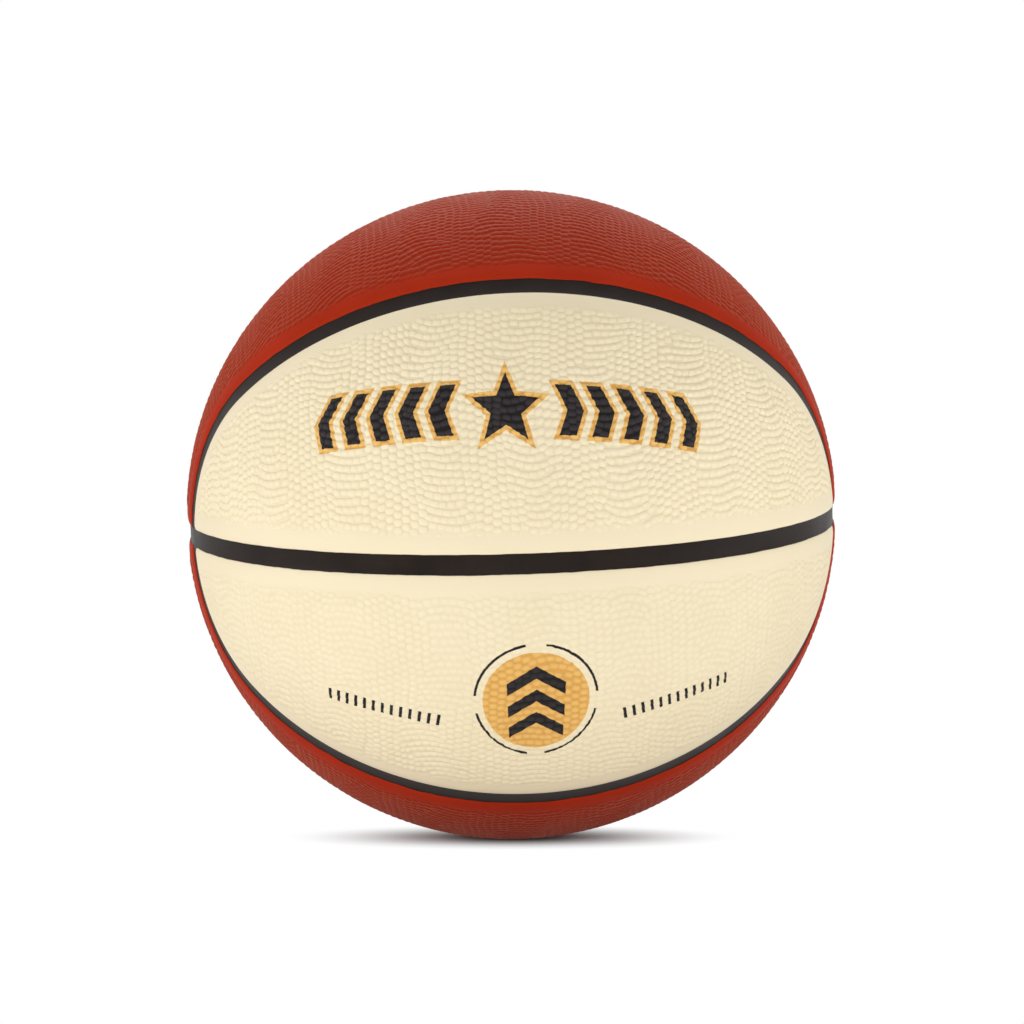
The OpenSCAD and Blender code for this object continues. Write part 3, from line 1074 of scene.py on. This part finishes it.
wallHeight = math.sin(seams["halfWidth"] / ball["radius"])
ovalRun = evenly(upperRun(oval, wallHeight))
overRun = evenly(overTop(np.array([math.sqrt(1 - wallHeight ** 2), 0, wallHeight])))
turnOnce = np.linspace(0, 2 * math.pi, strip["equatorSteps"] + 1)[:-1]
equatorRun = np.stack([np.cos(turnOnce), np.sin(turnOnce), 0 * turnOnce], axis=1)
strips = {
    # its own name and its path
    "channel_equator": ("equatorChannel", equatorRun),
    "channel_meridian_upper": ("topChannel", overRun),
    "channel_meridian_lower": ("bottomChannel", overRun * (1, 1, -1)),
    "channel_front_upper": ("frontUpperChannel", ovalRun),
    "channel_front_lower": ("frontLowerChannel", ovalRun * (1, 1, -1)),
    "channel_back_upper": ("backUpperChannel", ovalRun * (1, -1, 1)),
    "channel_back_lower": ("backLowerChannel", ovalRun * (1, -1, -1)),
}
sectionShape = stripProfile()
sweepTree = stripTree()
for nodeName, (pieceName, path) in strips.items():
    joins = [(j, j + 1) for j in range(len(path) - 1)]
    if path is equatorRun:
        joins.append((len(path) - 1, 0))
    obj = meshObject(pieceName, path * ball["floorRadius"] * mm, [], joins)
    giveTree(obj, sweepTree, {"Profile": sectionShape, "Finish": finishes["channel"]})
    settle(obj, strip["sharpAngle"])
    standFor(obj, nodeName)
    far = [v.co.length for v in obj.data.vertices]
    print("strip", pieceName, "from", round(min(far) / mm, 2), "to", round(max(far) / mm, 2), "mm out")
bpy.data.objects.remove(sectionShape)

# valve
valveLooks = {
    "sides": 64,
    "sharpAngle": 50,
    # distance from the axis, distance from the ball's centre
    "housing": ((2.42, 110.0), (4.0, 110.0), (4.0, 120.62), (3.93, 120.8), (3.75, 120.9), (3.3, 120.93),
                (2.75, 120.9), (2.5, 120.8), (2.42, 120.6)),
    "plug": ((0.0, 112.0), (2.4, 112.0), (2.4, 120.5), (2.3, 120.68), (2.05, 120.76), (1.8, 120.7),
             (1.5, 120.45), (1.25, 120.1), (1.2, 119.6), (1.2, 113.4), (0.0, 112.9)),
}
backWay = valveWay * (1, -1, 1)


def lathe(name, profile, axis, closed):
    sides, across = valveLooks["sides"], np.array([1.0, 0, 0])
    side = np.cross(axis, across)
    coords, faces, rows = [], [], []
    for away, height in profile:
        if away == 0:
            rows.append([len(coords)] * sides)
            coords.append(axis * height)
            continue
        rows.append(list(range(len(coords), len(coords) + sides)))
        for j in range(sides):
            turn = 2 * math.pi * j / sides
            coords.append(axis * height + away * (math.cos(turn) * across + math.sin(turn) * side))
    if closed:
        rows.append(rows[0])
    for low, high in zip(rows, rows[1:]):
        for j in range(sides):
            after = (j + 1) % sides
            face = list(dict.fromkeys((low[j], low[after], high[after], high[j])))
            if len(face) > 2:                               # a row that is one point makes fewer corners
                faces.append(face)
    obj = meshObject(name, np.array(coords) * mm, faces)
    obj.data.polygons.foreach_set("use_smooth", [True] * len(obj.data.polygons))
    obj.data.set_sharp_from_angle(angle=math.radians(valveLooks["sharpAngle"]))
    return obj


valvePieces = (("valve_housing", "valveHousing", "housing"), ("valve_plug", "valvePlug", "plug"))
for nodeName, pieceName, profile in valvePieces:
    obj = lathe(pieceName, valveLooks[profile], backWay, closed=profile == "housing")
    obj.data.materials.append(finishes["valve"])
    standFor(obj, nodeName)
print("valve made")

# layers under the cover
for nodeName, finish in (("carcass", "backing"), ("winding", "thread"), ("bladder", "bladder")):
    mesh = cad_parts[nodeName].data
    mesh.materials.clear()
    mesh.materials.append(finishes[finish])
print("layers coloured")

# floor, lights, background
studio = {
    "floorSize": 4000,       # mm
    "floorShade": 0.8,
    # the shadow that the floor keeps: half lengths across and towards the camera, how far
    # towards the camera it lies, and the shares of those lengths where white sets in
    "shadow": (50, 17),
    "shadowNear": 4,
    "shadowFade": (0.3, 1.75),
    "skyLight": 0.42,        # of the surroundings, straight up; level with the ball there is none
    "skyFull": 0.9,          # share of the way up from where it is full
    # name: across, above, near in mm, width and height in mm, watts
    "lamps": (
        ("leftLamp", -1250, 60, 450, 900, 900, 9.3),
        ("rightLamp", 1250, 60, 450, 900, 900, 5.3),
        ("frontLamp", 0, 60, 1500, 1000, 1000, 9.0),
        ("backLamp", 0, 1000, -700, 1000, 1000, 10.0),
    ),
    # these lie on the table beside the ball and shine straight up
    "tableLamps": (
        ("tableFrontLamp", 0, -119, 275, 800, 350, 0.32),
        ("tableRightLamp", 800, -119, 350, 800, 1000, 3.75),
    ),
}
corners = []
for x, y in ((-1, -1), (1, -1), (1, 1), (-1, 1)):
    corners.append((right * x + back * y) * studio["floorSize"] * mm - up * ball["radius"] * mm)
floor = meshObject("floor", corners, [(0, 1, 2, 3)])


def cameraSees(tree):
    seen = node(tree, "ShaderNodeLightPath").outputs
    rays = [Wire(tree, seen[name]) for name in ("Is Camera Ray", "Is Glossy Ray", "Is Transmission Ray")]
    return rays[0].most(rays[1]).most(rays[2])


def alongWay(tree, coords, way):
    dot = node(tree, "ShaderNodeVectorMath", {0: coords, 1: way}, operation="DOT_PRODUCT")
    return Wire(tree, dot.outputs["Value"])


floorMaterial, tree = newMaterial("paleFloor")
coords = node(tree, "ShaderNodeTexCoord").outputs["Object"]
halfWide, halfDeep = (v * mm for v in studio["shadow"])
wide = alongWay(tree, coords, right) / halfWide
deep = (alongWay(tree, coords, back) - studio["shadowNear"] * mm) / halfDeep
outside = (wide * wide + deep * deep).op("SQRT").between(*studio["shadowFade"])
matt = node(tree, "ShaderNodeBsdfDiffuse", {"Color": (studio["floorShade"],) * 3 + (1,)})
glow = node(tree, "ShaderNodeEmission")
both = node(tree, "ShaderNodeMixShader", {0: cameraSees(tree) * outside, 1: matt, 2: glow})
node(tree, "ShaderNodeOutputMaterial", {"Surface": both})
floor.data.materials.append(floorMaterial)

world = bpy.data.worlds.new("studio")
scene.world = world
world.use_nodes = True
tree = world.node_tree
tree.nodes.clear()
climb = alongWay(tree, node(tree, "ShaderNodeTexCoord").outputs["Generated"], up)
strength = climb.between(0.0, studio["skyFull"]) * studio["skyLight"]
sky = node(tree, "ShaderNodeBackground", {"Color": (1, 1, 1, 1), "Strength": strength})
white = node(tree, "ShaderNodeBackground", {"Color": (1, 1, 1, 1), "Strength": 1.0})
both = node(tree, "ShaderNodeMixShader", {0: cameraSees(tree), 1: sky, 2: white})
node(tree, "ShaderNodeOutputWorld", {"Surface": both})


def addLamp(name, turn, across, above, near, width, height, watts):
    data = bpy.data.lights.new(name, "AREA")
    data.shape = "RECTANGLE"
    data.size, data.size_y = width * mm, height * mm
    data.energy = watts
    lamp = bpy.data.objects.new(name, data)
    scene.collection.objects.link(lamp)
    lamp.matrix_world = Matrix.Translation(place(across, above, near)) @ turn.to_4x4()


for name, *spec in studio["lamps"]:
    addLamp(name, facing(place(*spec[:3]), up), *spec)
for name, *spec in studio["tableLamps"]:
    addLamp(name, facing(-up, back), *spec)
scene.view_settings.view_transform = "Standard"
print("studio set")
